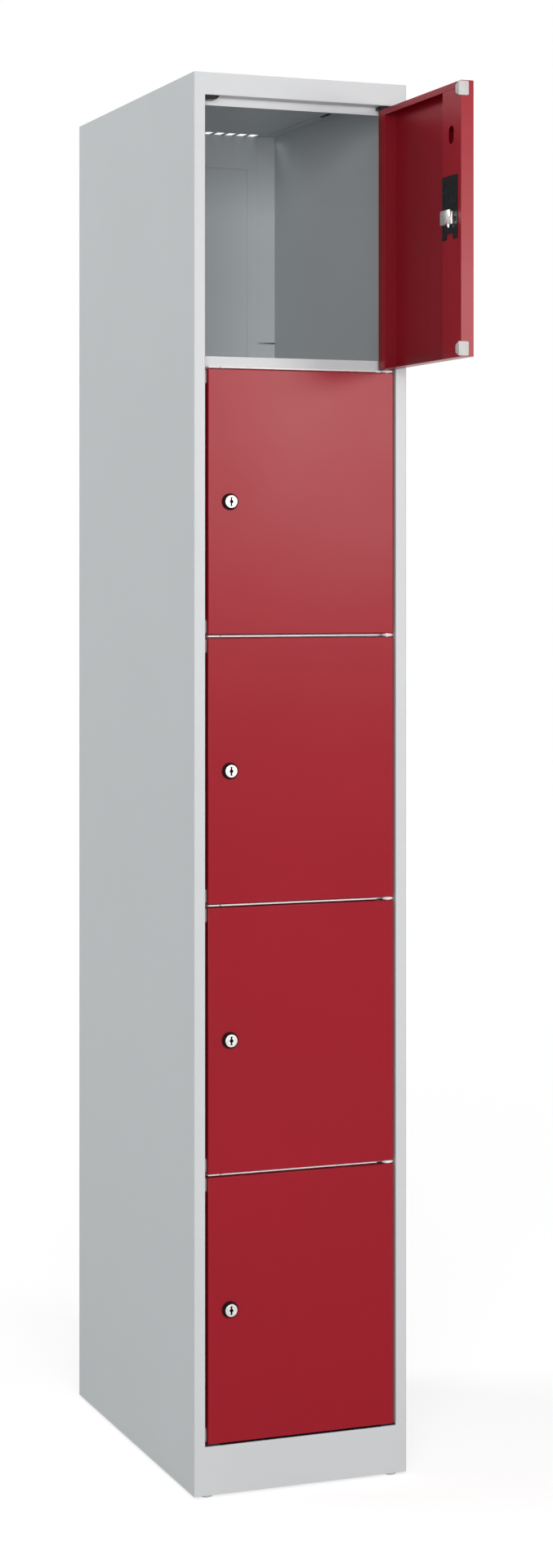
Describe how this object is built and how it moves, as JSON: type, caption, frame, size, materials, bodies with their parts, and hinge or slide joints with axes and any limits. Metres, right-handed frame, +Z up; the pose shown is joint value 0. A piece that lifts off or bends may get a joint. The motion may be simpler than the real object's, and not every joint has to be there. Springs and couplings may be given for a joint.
{
  "type": "compartment locker",
  "caption": "Tall free-standing steel locker with stacked compartments, hinged doors on pivot pins, cylinder locks with sliding bolts and vent slots in the top.",
  "frame": {"origin": "floor level under the middle of the carcass footprint, at the mount named floor", "axes": "+X to the right seen from the front, +Y to the back, +Z up"},
  "size_m": [0.3, 0.7487, 1.85],
  "materials": {
    "carcass_paint": "light grey powder coat, satin",
    "door_paint": "deep red powder coat, semi-gloss",
    "black_plastic": "black moulded plastic",
    "white_plastic": "white moulded plastic",
    "buffer_plastic": "pale soft plastic",
    "nickel": "bright nickel plate",
    "zinc_steel": "zinc-plated steel",
    "foot_plastic": "grey moulded plastic"
  },
  "bodies": {
    "carcass": {"left_side_panel": "carcass_paint", "right_side_panel": "carcass_paint", "back_panel": "carcass_paint", "top_panel": "carcass_paint", "bottom_panel": "carcass_paint", "plinth_panel": "carcass_paint", "shelf_1": "carcass_paint", "shelf_2": "carcass_paint", "shelf_3": "carcass_paint", "shelf_4": "carcass_paint", "feet": "foot_plastic", "gap_strips": "white_plastic", "hinge_bearings": "white_plastic", "frame_inserts": "black_plastic", "hinge_pins": "zinc_steel"},
    "door_1": {"door_1_pan": "door_paint", "door_1_lock_channel": "door_paint", "door_1_lock_case": "black_plastic", "door_1_lock_housing": "black_plastic", "door_1_buffers": "buffer_plastic", "door_1_pivot_blocks": "black_plastic"},
    "lock_1": {"lock_1_core": "nickel", "lock_1_crank": "zinc_steel"},
    "bolt_1": {"lock_1_bolt": "nickel"},
    "door_2": {"door_2_pan": "door_paint", "door_2_lock_channel": "door_paint", "door_2_lock_case": "black_plastic", "door_2_lock_housing": "black_plastic", "door_2_buffers": "buffer_plastic", "door_2_pivot_blocks": "black_plastic"},
    "lock_2": {"lock_2_core": "nickel", "lock_2_crank": "zinc_steel"},
    "bolt_2": {"lock_2_bolt": "nickel"},
    "door_3": {"door_3_pan": "door_paint", "door_3_lock_channel": "door_paint", "door_3_lock_case": "black_plastic", "door_3_lock_housing": "black_plastic", "door_3_buffers": "buffer_plastic", "door_3_pivot_blocks": "black_plastic"},
    "lock_3": {"lock_3_core": "nickel", "lock_3_crank": "zinc_steel"},
    "bolt_3": {"lock_3_bolt": "nickel"},
    "door_4": {"door_4_pan": "door_paint", "door_4_lock_channel": "door_paint", "door_4_lock_case": "black_plastic", "door_4_lock_housing": "black_plastic", "door_4_buffers": "buffer_plastic", "door_4_pivot_blocks": "black_plastic"},
    "lock_4": {"lock_4_core": "nickel", "lock_4_crank": "zinc_steel"},
    "bolt_4": {"lock_4_bolt": "nickel"},
    "door_5": {"door_5_pan": "door_paint", "door_5_lock_channel": "door_paint", "door_5_lock_case": "black_plastic", "door_5_lock_housing": "black_plastic", "door_5_buffers": "buffer_plastic", "door_5_pivot_blocks": "black_plastic"},
    "lock_5": {"lock_5_core": "nickel", "lock_5_crank": "zinc_steel"},
    "bolt_5": {"lock_5_bolt": "nickel"}
  },
  "joints": [
    {"name": "door_1_hinge", "type": "hinge", "parent": "carcass", "child": "door_1", "pos_m": [0.1248, -0.2417, 1.6433], "axis": [0, 0, 1], "range_deg": [-90, 5]},
    {"name": "lock_1_turn", "type": "hinge", "parent": "door_1", "child": "lock_1", "pos_m": [0.1248, -0.4672, 1.6433], "axis": [1, 0, 0], "range_deg": [0, 90]},
    {"name": "bolt_1_slide", "type": "slide", "parent": "door_1", "child": "bolt_1", "axis": [0, -1, 0], "range_m": [0, 0.028]},
    {"name": "door_2_hinge", "type": "hinge", "parent": "carcass", "child": "door_2", "pos_m": [0.1248, -0.2417, 1.2929], "axis": [0, 0, 1], "range_deg": [0, 95]},
    {"name": "lock_2_turn", "type": "hinge", "parent": "door_2", "child": "lock_2", "pos_m": [-0.1007, -0.2417, 1.2929], "axis": [0, -1, 0], "range_deg": [0, 90]},
    {"name": "bolt_2_slide", "type": "slide", "parent": "door_2", "child": "bolt_2", "axis": [-1, 0, 0], "range_m": [0, 0.028]},
    {"name": "door_3_hinge", "type": "hinge", "parent": "carcass", "child": "door_3", "pos_m": [0.1248, -0.2417, 0.9425], "axis": [0, 0, 1], "range_deg": [0, 95]},
    {"name": "lock_3_turn", "type": "hinge", "parent": "door_3", "child": "lock_3", "pos_m": [-0.1007, -0.2417, 0.9425], "axis": [0, -1, 0], "range_deg": [0, 90]},
    {"name": "bolt_3_slide", "type": "slide", "parent": "door_3", "child": "bolt_3", "axis": [-1, 0, 0], "range_m": [0, 0.028]},
    {"name": "door_4_hinge", "type": "hinge", "parent": "carcass", "child": "door_4", "pos_m": [0.1248, -0.2417, 0.5921], "axis": [0, 0, 1], "range_deg": [0, 95]},
    {"name": "lock_4_turn", "type": "hinge", "parent": "door_4", "child": "lock_4", "pos_m": [-0.1007, -0.2417, 0.5921], "axis": [0, -1, 0], "range_deg": [0, 90]},
    {"name": "bolt_4_slide", "type": "slide", "parent": "door_4", "child": "bolt_4", "axis": [-1, 0, 0], "range_m": [0, 0.028]},
    {"name": "door_5_hinge", "type": "hinge", "parent": "carcass", "child": "door_5", "pos_m": [0.1248, -0.2417, 0.2417], "axis": [0, 0, 1], "range_deg": [0, 95]},
    {"name": "lock_5_turn", "type": "hinge", "parent": "door_5", "child": "lock_5", "pos_m": [-0.1007, -0.2417, 0.2417], "axis": [0, -1, 0], "range_deg": [0, 90]},
    {"name": "bolt_5_slide", "type": "slide", "parent": "door_5", "child": "bolt_5", "axis": [-1, 0, 0], "range_m": [0, 0.028]}
  ],
  "couplings": [
    {"joint": "lock_1_turn", "follows": "bolt_1_slide", "rad_per_m": 56.099},
    {"joint": "lock_2_turn", "follows": "bolt_2_slide", "rad_per_m": 56.099},
    {"joint": "lock_3_turn", "follows": "bolt_3_slide", "rad_per_m": 56.099},
    {"joint": "lock_4_turn", "follows": "bolt_4_slide", "rad_per_m": 56.099},
    {"joint": "lock_5_turn", "follows": "bolt_5_slide", "rad_per_m": 56.099}
  ]
}
